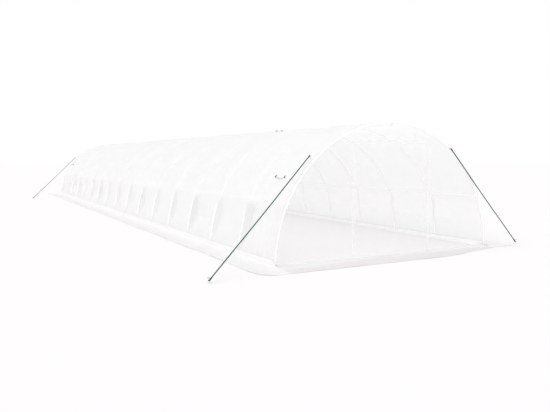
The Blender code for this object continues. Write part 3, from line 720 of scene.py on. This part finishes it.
def cover_points(sizes):
    """The cover as a grid: angle round the tunnel by place along it.

    Radius is the arches' circle plus the tube, less the dip, with small pleats near the ground
    that fade upwards and ripples that fan out from the arches.
    """
    # Finer on the walls and beside the front end, where the film is creased
    foot = math.radians(27)
    wall = np.linspace(0, foot, 37)
    roof = np.linspace(foot, math.pi - foot, 71)[1:-1]
    angle = np.concatenate([wall, roof, math.pi - wall[::-1]])[:, None]
    y = np.concatenate([np.linspace(-PANEL_OUTER, 0.5 - HALF_LENGTH, 45)[:-1],
                        np.linspace(0.5 - HALF_LENGTH, PANEL_OUTER, 560)])[None, :]
    angle, y = np.broadcast_arrays(angle, y)
    z0 = sizes.arch_radius * np.sin(angle)
    dip, metres, fold_and_shade = cover_dip(angle, z0, np.clip(y, -HALF_LENGTH, HALF_LENGTH), sizes)
    side = np.where(angle > math.pi / 2, 1.0, 0.0)
    pleats = 0.004 * np.exp(-z0 / 0.28) * smoothstep(0.0, 0.06, z0) * waves(3, y * 1.9, side * 3.1)
    ripple = 0.0022 * waves(5, y * 1.1 + z0 * 0.9, z0 * 1.3 + side * 7.7)
    loose = smoothstep(0.01, 0.12, metres) * (0.003 - pleats - ripple)
    radius = arch_radius_at(z0, sizes) + TUBE_RADIUS + 0.0008 - dip - loose
    z = np.maximum(radius * np.sin(angle), FILM_FOOT)
    return stacked(-radius * np.cos(angle), y, z), stacked(angle * 1.99, y), fold_and_shade


def panel_points(end, sizes):
    """An end panel as a grid from the doorway's outline to the arch.

    The inner line runs up one jamb, along the lintel and down the other; the outer line is the
    arch. Points between are in line with both, and folds push them inwards off the plane.
    """
    radius = sizes.arch_radius + TUBE_RADIUS
    corner = math.atan2(DOOR_HEIGHT, DOOR_HALF)
    angle = np.concatenate([
        np.linspace(0, corner, 49), np.linspace(corner, math.pi - corner, 33)[1:],
        np.linspace(math.pi - corner, math.pi, 49)[1:]])
    outer = stacked(-radius * np.cos(angle), radius * np.sin(angle))
    outer[:, 0] *= 1 + sizes.leg_spread / radius * np.exp(-outer[:, 1] / 0.07)
    outer[:, 1] = np.maximum(outer[:, 1], FILM_FOOT)
    rise = np.linspace(FILM_FOOT, DOOR_HEIGHT, 49)
    lintel = np.linspace(-DOOR_HALF, DOOR_HALF, 33)[1:-1]
    inner = np.concatenate([stacked(-DOOR_HALF, rise), stacked(lintel, DOOR_HEIGHT),
                            stacked(DOOR_HALF, rise[::-1])])
    share = np.linspace(0, 1, 33)[None, :]
    x, z = [inner[:, n:n + 1] * (1 - share) + outer[:, n:n + 1] * share for n in (0, 1)]
    edge = np.minimum(share * 6, (1 - share) * 5)
    edge = smoothstep(0, 1, np.minimum(edge, (z - FILM_FOOT) / 0.12))
    slant = waves(11 + end, (z - 0.75 * np.abs(x)) * 1.5, x * 0.6)
    inwards = sizes.panel_fold * edge * (0.9 + 0.9 * slant)
    return stacked(x, end * (PANEL_INNER + 0.001 - inwards), z), stacked(x, z)


def door_points(end, sizes):
    """A door flap as a grid: flat along its zips, top and foot, with slanting folds between."""
    x = np.linspace(-FLAP_HALF, FLAP_HALF, 73)[:, None]
    z = np.linspace(FLAP_FOOT + 0.02, FLAP_TOP, 89)[None, :]
    x, z = np.broadcast_arrays(x, z)
    free = smoothstep(0, 0.10, FLAP_HALF - 0.02 - np.abs(x)) * smoothstep(0, 0.15, FLAP_TOP - z)
    free = free * smoothstep(0, 0.10, z - 0.04)
    bend = 0.35 * np.sin(math.pi * z / 1.7)
    folds = waves(21 + end, (x + bend) * 1.5 + z * 0.55, (z - 0.4 * x) * 0.5)
    y = end * (FLAP_INNER + 0.001 + sizes.panel_fold * free * (folds - 0.35))
    return stacked(x, y, z), stacked(x, z)


def foot_wrap_points(side):
    """The cover's foot turned in under a base rail and clipped over it: a curve swept along y.

    The curve starts on the ground inside the tent, sweeps up before the rail in a wide bend and
    ends on top of it; between the clips it bulges inwards a little. At both ends its lower part is
    turned round to the wall.
    """
    curve = smooth_route(WRAP_OUTLINE, 22)
    turn = WRAP_END + WRAP_TURN * np.array([1, 2, 3]) / 3
    y = np.concatenate([-turn[::-1], np.linspace(-WRAP_END, WRAP_END, 577), turn])[None, :]
    middle = np.sin(np.linspace(0, math.pi, 22))[:, None]
    between = np.abs(np.sin(math.pi * (y + HALF_LENGTH) / BAY))
    bulge = middle * between * (0.004 + 0.003 * waves(51 + side, y * 1.7, middle))
    x = curve[:, :1] - np.maximum(bulge, 0)
    z = curve[:, 1:]
    turned = np.clip((np.abs(y) - WRAP_END) / WRAP_TURN, 0, 1) * (1 - smoothstep(0.028, 0.036, z))
    x = x + (WRAP_WALL - x) * turned
    return stacked(side * x, y, z), stacked(z + x, y)


def apron(inner, radius, edge, bends, rows, calm, ripple):
    """How far out and how high an apron is: a quarter circle from its wall, then the ground.

    Ripples, given by the share of the way to the cut edge, rise from the calm share on.
    """
    turn = np.linspace(0, math.pi / 2, bends)[:-1, None]
    share = np.linspace(0, 1, rows)[:, None]
    out = inner + radius + (edge - inner - radius) * share
    z = GROUND + smoothstep(calm, 1, share) * np.maximum(ripple(share), 0)
    return (np.concatenate([inner + radius * (1 - np.cos(turn)), out]),
            np.concatenate([GROUND + radius * (1 - np.sin(turn)), z]))


def side_skirt_points(side):
    """An apron along one side: an upstand on the wall's foot, a soft bend, then the ground.

    The bend is a quarter circle whose radius wanders; outside it ripples grow to the cut edge. The
    left apron runs on round the front corner, which is rounded off. Painted shade grows outwards.
    """
    y = np.linspace(-SKIRT_END, SKIRT_END, 461)[None, :]
    if side < 0:
        beyond = np.linspace(-SKIRT_FRONT, -SKIRT_END, 15)[None, :-1]
        y = np.concatenate([beyond, y], axis=1)
    edge = SKIRT_SIDE - 0.045 * wander(y, 1.0)
    radius = (0.028 + 0.014 * waves(35 + side, y * 1.1)) if side < 0 else np.full_like(y, 0.010)
    radius = radius * (1 - 0.92 * smoothstep(9.02, 9.12, np.abs(y)))
    out, z = apron(WALL_FACE, radius, edge, 9, 15, 0, lambda share: 0.0035
                   + 0.0045 * waves(31 + side, y * 1.3, share * 0.5)
                   + 0.0025 * waves(33 + side, y * 3.1, share * 0.9))
    # The upstand is let down to the bend before the ends, where the corners turn
    rise = SKIRT_RISE[side] * (1 - smoothstep(*RISE_END, np.abs(y)))
    rise = np.maximum(rise, z[:1] + 0.001) - z[:1]
    stand_z = z[:1] + rise * np.array([1.0, 0.75, 0.5, 0.25])[:, None]
    out = np.concatenate([np.full_like(stand_z, WALL_FACE), out])
    z = np.concatenate([stand_z, z])
    width = out - WALL_FACE
    # Painted shade: darker towards the cut edge, weaker on the right and round the front corner
    dust = smoothstep(0.10, 0.37, width + 0.04 * waves(37 + side, y * 0.9, width * 2))
    dust = dust * (1.0 if side < 0 else 0.4) * (1 - 0.7 * smoothstep(9.18, 9.32, -y))
    beyond = np.minimum(y + SKIRT_END, 0)
    y = np.maximum(y, -SKIRT_END) + beyond * (1 - 0.45 * smoothstep(0.22, 0.43, width))
    return stacked(side * out, y, z), stacked(width, y), dust


def end_skirt_points(end):
    """An apron before an end: a bend against the panel's foot, then ripples out to its cut edge.

    The bend is a quarter circle, and painted shade starts beyond it, later at the left of the
    front. The front apron is as wide as the side ones and is cut narrower towards its right end.
    """
    x = np.linspace(-1.997, 1.997, 201)[None, :]
    edge = SKIRT_END - 0.012 * wander(x, 0.5)
    if end < 0:
        edge = edge + SKIRT_FRONT - SKIRT_END - 0.30 * smoothstep(0.5, 2.2, x)
    # Clear of the door flap across the doorway
    flap = 1 - smoothstep(FLAP_HALF, FLAP_HALF + 0.06, np.abs(x))
    inner = PANEL_OUTER + 0.0014 + 0.0034 * flap
    left = 1 - smoothstep(-1.65, -0.60, x) if end < 0 else 0.0 * x
    radius = 0.018 - 0.004 * left
    out, z = apron(inner, radius, edge, 6, 17, 0.1, lambda share: 0.003
                   + 0.004 * waves(41 + end, x * 1.7, share * 0.5))
    width = out - inner
    # Painted shade: darker beyond the bend, later at the left of the front
    dust = 0.65 * smoothstep(0.03, 0.11, width - radius - 0.11 * left) \
        + 0.35 * smoothstep(0.18, 0.34, width + 0.05 * waves(43 + end, x * 1.3))
    return stacked(x, end * out, z), stacked(width, x), dust


def facet_place(degrees):
    """A place on the solids' 17-sided cover, with the way out from it and the way up along it.

    It is as high as that angle on a circle of the cover's radius.
    """
    angle = math.radians(degrees)
    middle = (math.floor(angle / FACET_ANGLE) + 0.5) * FACET_ANGLE
    outward = np.array([-math.cos(middle), 0, math.sin(middle)])
    slope = np.array([math.sin(middle), 0, math.cos(middle)])
    foot = COVER_RADIUS * FACET_COS * outward
    rise = (COVER_RADIUS * math.sin(angle) - foot[2]) / slope[2]
    return foot + rise * slope, outward, slope


def guy_line(word):
    """A guy's anchor, its rope's place on the stake and its loop's direction.

    A loop on the cover stands square on one facet, and the others lie on an end panel.
    """
    side, end, degrees, out, ahead, behind = GUYS[word]
    stake = np.array([side * (COVER_RADIUS + out), end * (PANEL_OUTER + ahead), ROPE_END_HEIGHT])
    if behind is not None:
        place, outward, _ = facet_place(degrees)
        place = place + CLEARANCE * outward + np.array([0, end * (HALF_LENGTH - behind), 0])
        return place, stake, outward
    angle = math.radians(degrees)
    outward = np.array([side * math.cos(angle), 0, math.sin(angle)])
    anchor = (COVER_RADIUS - TUBE_DEPTH / FACET_COS) * outward + np.array([0, end * ROPE_PLANE, 0])
    if ahead < 0:
        return anchor, stake, outward
    return anchor, stake, unit((stake - anchor) * np.array([1, 0, 1]))


def rope_route(word, count):
    """The rope's middle line: straight from loop to stake, less a dip of one cosine wave."""
    anchor, stake, along = guy_line(word)
    tip = anchor + along * (LOOP_LENGTH + CLEARANCE)
    run = unit(stake - tip)
    start = tip + along * ROPE_DIAMETER / 2 * math.sqrt(1 - (run @ along) ** 2)
    stem = STAKE_RADIUS / math.cos(math.pi / 8) + CLEARANCE
    end = stake - run * (stem + ROPE_DIAMETER / 2 * abs(run[2])) / math.hypot(run[0], run[1])
    share = np.linspace(0, 1, count)[:, None]
    route = start + (end - start) * share
    route[:, 2] -= ROPE_SAG * (1 - np.cos(2 * math.pi * share[:, 0])) / 2
    return route


def whipping(route, level):
    """Tight turns of twine 3 mm apart over a rope's swollen end."""
    step = np.linspace(-0.002, 0.050, 105)
    swell = 0.0012 + 0.0030 * np.exp(-((step - 0.014) / 0.010) ** 2)
    turns = 0.0008 * np.abs(np.sin(math.pi * step / 0.003))
    shrink = smoothstep(-0.003, 0.003, step) * (1 - 0.9 * smoothstep(0.044, 0.050, step))
    radius = (ROPE_DIAMETER / 2 * 0.9 + swell + turns) * np.maximum(shrink, 0.1)
    return sweep(route[0] + step[:, None] * unit(route[40] - route[0]), radius, 16, level)


# Operators

class TENT_OT_guy_ropes(bpy.types.Operator):
    """Braided ropes from the end arches to their stakes"""
    bl_idname = "tent.guy_ropes"
    bl_label = "Guy ropes"

    def execute(self, context):
        material = finish("braided_polypropylene_rope", braided_rope,
                          context.scene.tent_colours.rope)
        sides = 16
        turn = 4 * np.arange(sides) * 2 * math.pi / sides
        circle = np.linspace(0, 2 * math.pi, 41)
        for word in GUYS:
            route = rope_route(word, 401)
            length = float(distance(route)[-1])
            level = np.cross(route[-1] - route[0], UP)
            run = 2 * math.pi * np.linspace(0, length, len(route))[:, None] / BRAID_PITCH
            radius = ROPE_DIAMETER / 2 * (0.94 + 0.06 * np.cos(turn + run) * np.cos(turn - run))
            piece = add_piece(f"rope_{word}", [sweep(route, radius, sides, level)], material,
                              "green_rope", f"guy_rope_{word}")
            rope_route(word, 41).tolist()
            # The rope's eye goes round the stake
            eye = guy_line(word)[1] \
                + (STAKE_RADIUS + EYE_ROPE_RADIUS + 0.0004) \
                * stacked(np.cos(circle), np.sin(circle), 0)
            for part, body in (("upper_whipping", whipping(route, level)),
                               ("lower_whipping", whipping(route[::-1], level)),
                               ("eye", sweep(eye, EYE_ROPE_RADIUS, 12, UP))):
                add_piece(f"rope_{word}_{part}", [body], material, "green_rope")
        return {"FINISHED"}


class TENT_OT_stage(bpy.types.Operator):
    """Camera, soft light and floor"""
    bl_idname = "tent.stage"
    bl_label = "Camera, light and floor"

    def execute(self, context):
        scene = context.scene
        data = bpy.data.cameras.new("photo_camera")
        data.sensor_width = 36.0
        data.lens = 38.11
        data.clip_end = 500.0
        camera = bpy.data.objects.new("photo_camera", data)
        camera.location = (-5.6749, -15.7686, 1.4708)
        camera.rotation_euler = np.radians((85.205, 0.0, -28.623))
        scene.collection.objects.link(camera)
        scene.camera = camera
        scene.view_settings.view_transform = "Standard"

        world = bpy.data.worlds.new("soft_sky")
        world.use_nodes = True
        tree = world.node_tree
        tree.nodes.clear()
        light, white = [
            node(tree, "Background", {"Color": linear("#FFFFFF"), "Strength": strength})
            for strength in (0.95, 1.0)]
        node(tree, "OutputWorld",
             {"Surface": node(tree, "MixShader", [seen_directly(tree), light, white])})
        scene.world = world

        for name, energy, spread, turn in (("soft_key", 0.8, 50, (8.6, -38.8, 0.0)),
                                           ("soft_front_fill", 0.45, 35, (76.0, 0.0, -24.0))):
            lamp = bpy.data.lights.new(name, "SUN")
            lamp.energy = energy
            lamp.angle = math.radians(spread)
            lit = bpy.data.objects.new(name, lamp)
            lit.rotation_euler = np.radians(turn)
            scene.collection.objects.link(lit)

        side = np.linspace(-90, 90, 5)
        x, y = np.meshgrid(side, side, indexing="ij")
        ground = sheet(stacked(x, y, -0.0005), stacked(x, y), flip=True)
        object_from("floor", [ground], finish("studio_floor", painted_floor))
        return {"FINISHED"}


class TENT_OT_tubes(bpy.types.Operator):
    """Round arches, and the coat of the bars that run along the tunnel"""
    bl_idname = "tent.tubes"
    bl_label = "Arches and bars"

    def execute(self, context):
        material = finish("powder_coated_steel", powder_coated_steel,
                          context.scene.tent_colours.steel)
        for number in range(BAYS + 1):
            name = f"arch_{number:02d}"
            tube = arch_tube(-HALF_LENGTH + BAY * number, context.scene.tent_sizes)
            add_piece(name + "_tube", [tube], material, "coated_steel", name)
        coat(("ridge_bar", "side_bar_left", "side_bar_right", "base_rail_left", "base_rail_right",
              "front_sill_bar", "rear_sill_bar"), material)
        return {"FINISHED"}


class TENT_OT_cover(bpy.types.Operator):
    """The film over the arches"""
    bl_idname = "tent.cover"
    bl_label = "Cover"

    def execute(self, context):
        colours = context.scene.tent_colours
        points, uv, fold_and_shade = cover_points(context.scene.tent_sizes)
        piece = add_piece("cover_sheet", [sheet(points, uv)], cover_film(colours), "cover_film",
                          "cover_film")
        mark(piece, "fold_and_shade", fold_and_shade)
        for word, side in SIDES:
            points, uv = foot_wrap_points(side)
            wrap = add_piece(f"foot_wrap_{word}", [sheet(points, uv, flip=side < 0)],
                             hem_film(colours), "cover_film")
        return {"FINISHED"}


class TENT_OT_skirts(bpy.types.Operator):
    """The film aprons on the ground"""
    bl_idname = "tent.skirts"
    bl_label = "Skirts"

    def execute(self, context):
        colours = context.scene.tent_colours
        aprons = [(word, side, side_skirt_points(side), side_skirt_film(colours))
                  for word, side in SIDES]
        aprons += [(word, end, end_skirt_points(end), end_skirt_film(colours))
                   for word, end in ENDS]
        for word, way, (points, uv, dust), material in aprons:
            piece = add_piece(f"skirt_{word}_sheet", [sheet(points, uv, flip=way > 0)], material,
                              "skirt_film", f"skirt_{word}")
            mark(piece, "dust", dust)
        return {"FINISHED"}


class TENT_OT_ends(bpy.types.Operator):
    """End panels and door flaps"""
    bl_idname = "tent.ends"
    bl_label = "Ends and doors"

    def execute(self, context):
        sizes, colours = context.scene.tent_sizes, context.scene.tent_colours
        for word, end in ENDS:
            panel = sheet(*panel_points(end, sizes), flip=end < 0)
            piece = add_piece(f"{word}_panel_sheet", [panel], end_film(colours), "clear_film",
                              f"{word}_end_panel")
            flap = sheet(*door_points(end, sizes), flip=end < 0)
            door = add_piece(f"{word}_door_sheet", [flap], door_film(colours), "clear_film",
                             f"{word}_door", f"{word}_door")
            path = stacked(np.linspace(-FLAP_HALF + 0.003, FLAP_HALF - 0.003, 25),
                           end * (FLAP_INNER + 0.0047), FLAP_FOOT + 0.0165)
            weight = add_piece(f"{word}_door_hem", [sweep(path, 0.0045, 12, UP)],
                               hem_film(colours), "clear_film", body=f"{word}_door")
        return {"FINISHED"}


class TENT_OT_straps(bpy.types.Operator):
    """Straps with toggles on the cover"""
    bl_idname = "tent.straps"
    bl_label = "Straps"

    def execute(self, context):
        webbing = finish("grey_woven_webbing", woven_webbing, context.scene.tent_colours.webbing)
        toggle = finish("moulded_toggle_plastic", moulded_plastic, "#34383A", "#26292B", 0.45)
        share = np.linspace(0, 1, 49)
        near = np.maximum(0, 1 - 8 * np.minimum(share, 1 - share))
        for name, (end, inset, span, degrees, drop) in STRAPS.items():
            base, outward, slope = facet_place(degrees)
            y = end * (HALF_LENGTH - inset) - end * span * share
            dip = SOLID_DIP * (1 - np.abs((y + HALF_LENGTH) / (BAY / 2) % 2 - 1))
            dip = np.where(np.abs(y) > HALF_LENGTH - BAY, 0.0, dip)
            route = base - (4 * share * (1 - share) * drop)[:, None] * slope \
                + (0.0022 - dip)[:, None] * outward
            route[:, 1] = y
            across = unit(np.cross(outward, np.gradient(route, axis=0)))
            seams = [(route[place] + outward * 0.0013 - slope * 0.008, slope * 0.0045,
                      np.array([0, 0.003, 0]), outward * 0.0005, 4) for place in (4, -7)]
            knobs = [barrel(route[place] + outward * 0.0067, slope, (0, 1, 0), 0.042, 0.0062)
                     for place in (2, -3)]
            add_strap(name, band(route, across, STRAP_WIDTH + 0.006 * near, STRAP_THICKNESS),
                      webbing, seams, {"name": name + "_toggles", "bodies": knobs, "sharp": 45,
                                       "material": toggle, "slot": "grey_webbing"})
        return {"FINISHED"}


class TENT_OT_door_ties(bpy.types.Operator):
    """Webbing ties with toggles over the doorways"""
    bl_idname = "tent.door_ties"
    bl_label = "Door ties"

    def execute(self, context):
        toggle = finish("moulded_white_toggle", moulded_plastic, "#FBFBFB", "#F2F2F1", 0.4)
        profile = smooth_route(TIE_OUTLINE, 89)
        for word, end in ENDS:
            for hand, side in SIDES:
                name = f"{word}_door_tie_{hand}"
                middle = np.array([side * TIE_SPACING / 2, end * FLAP_INNER, TIE_LOW])
                route = middle + stacked(0, end * profile[:, 0], profile[:, 1])
                seams = [(middle + (-0.0100, end * out, height), np.array([0.0042, 0, 0]),
                          np.array([0, 0, 0.010]), np.array([0, end * 0.0005, 0]), 5)
                         for out, height in ((0.0024, 0.088), (0.0046, 0.032))]
                knob = barrel(middle + (0, end * 0.0083, 0.0064), (1, 0, 0), UP, 0.045, 0.0060)
                add_strap(name, band(route, (1, 0, 0), TIE_WIDTH, TIE_THICKNESS), white_webbing(),
                          seams, {"name": name + "_toggle", "bodies": [knob], "material": toggle,
                                  "slot": "webbing"})
        return {"FINISHED"}


class TENT_OT_guy_loops(bpy.types.Operator):
    """Sewn webbing loops that hold the guy ropes"""
    bl_idname = "tent.guy_loops"
    bl_label = "Guy loops"

    def execute(self, context):
        for word, (_, end, _, _, _, behind) in GUYS.items():
            name = f"guy_loop_{word}"
            anchor, _, forward = guy_line(word)
            off = np.array([0, end, 0])
            across = np.cross(off, forward)
            if behind is None:
                outline, shift = FLAT_LOOP, -LOOP_THICKNESS / 2
                up, height, step = off, 0.0035, forward
            else:
                outline, shift = STANDING_LOOP, 0.0
                up, height, step = forward, 0.0012, off
            line = smooth_route(outline, 97)
            route = anchor + line[:, :1] * forward + (line[:, 1:] + shift) * off
            width = LOOP_WIDTH - 0.008 * smoothstep(0.3, 1.0, line[:, 0] / LOOP_LENGTH)
            seam = (route[6] - across * 0.010 + up * height, across * 0.0045, step * 0.004,
                    up * 0.0005, 4)
            add_strap(name, band(route, across, width, LOOP_WEBBING), white_webbing(), [seam])
        return {"FINISHED"}


class TENT_OT_stakes(bpy.types.Operator):
    """Hooked ground stakes"""
    bl_idname = "tent.stakes"
    bl_label = "Stakes"

    def execute(self, context):
        material = finish("zinc_plated_steel", zinc_plated_steel)
        turn = np.linspace(0, STAKE_TURN, 41)[1:]
        out = np.concatenate([np.zeros(9), STAKE_BEND * (1 - np.cos(turn))])[:, None]
        height = np.concatenate([np.linspace(0, STAKE_STEM, 9),
                                 STAKE_STEM + STAKE_BEND * np.sin(turn)])
        # The cut end is rounded over its last 3 mm
        radius = np.full(49, STAKE_RADIUS)
        radius[-3:] *= (0.95, 0.80, 0.45)
        flat = np.array([1, 1, 0])
        for word in GUYS:
            anchor, place, _ = guy_line(word)
            away = unit((place - anchor) * flat)
            path = place * flat + out * away + stacked(0, 0, height)
            add_piece(f"stake_{word}_rod", [sweep(path, radius, 20, np.cross(UP, away))], material,
                      "zinc_steel", f"stake_{word}")
        return {"FINISHED"}


class TENT_OT_zips(bpy.types.Operator):
    """Finishes of the zip chains and their sliders"""
    bl_idname = "tent.zips"
    bl_label = "Zips"

    def execute(self, context):
        chain = finish("moulded_zip_chain", moulded_plastic, "#F4F4F3", "#EDEDEC", 0.4, 0.003)
        lacquer = finish("lacquered_zinc_alloy", moulded_plastic, "#F4F4F4", "#E9E9E8", 0.3)
        for word, _ in ENDS:
            coat([f"{word}_zip_{hand}" for hand, _ in SIDES], chain)
            coat([f"{word}_zip_slider_{hand}" for hand, _ in SIDES], lacquer)
        return {"FINISHED"}


OPERATORS = (TENT_OT_stage, TENT_OT_guy_ropes, TENT_OT_tubes, TENT_OT_cover, TENT_OT_skirts,
             TENT_OT_ends, TENT_OT_straps, TENT_OT_door_ties, TENT_OT_guy_loops, TENT_OT_stakes,
             TENT_OT_zips)


class TENT_PT_panel(bpy.types.Panel):
    """Lists the tent's settings and the pieces it can build"""
    bl_idname = "TENT_PT_panel"
    bl_label = "Tunnel greenhouse tent"
    bl_space_type = "VIEW_3D"
    bl_region_type = "UI"
    bl_category = "Tent"

    def draw(self, context):
        layout = self.layout
        for group in (context.scene.tent_sizes, context.scene.tent_colours):
            box = layout.box()
            for name in type(group).__annotations__:
                box.prop(group, name)
        for operator in OPERATORS:
            layout.operator(operator.bl_idname)


CLASSES = (TentSizes, TentColours, *OPERATORS, TENT_PT_panel)


def register():
    """Register the classes and the settings."""
    for item in CLASSES:
        bpy.utils.register_class(item)
    bpy.types.Scene.tent_sizes = bpy.props.PointerProperty(type=TentSizes)
    bpy.types.Scene.tent_colours = bpy.props.PointerProperty(type=TentColours)


def unregister():
    """Take the settings and the classes away again."""
    del bpy.types.Scene.tent_sizes
    del bpy.types.Scene.tent_colours
    for item in reversed(CLASSES):
        bpy.utils.unregister_class(item)


def main():
    """Build every piece."""
    register()
    bpy.ops.tent.stage()
    bpy.ops.tent.guy_ropes()
    bpy.ops.tent.tubes()
    bpy.ops.tent.cover()
    bpy.ops.tent.skirts()
    bpy.ops.tent.ends()
    bpy.ops.tent.straps()
    bpy.ops.tent.door_ties()
    bpy.ops.tent.guy_loops()
    bpy.ops.tent.stakes()
    bpy.ops.tent.zips()


if __name__ == "__main__":
    main()
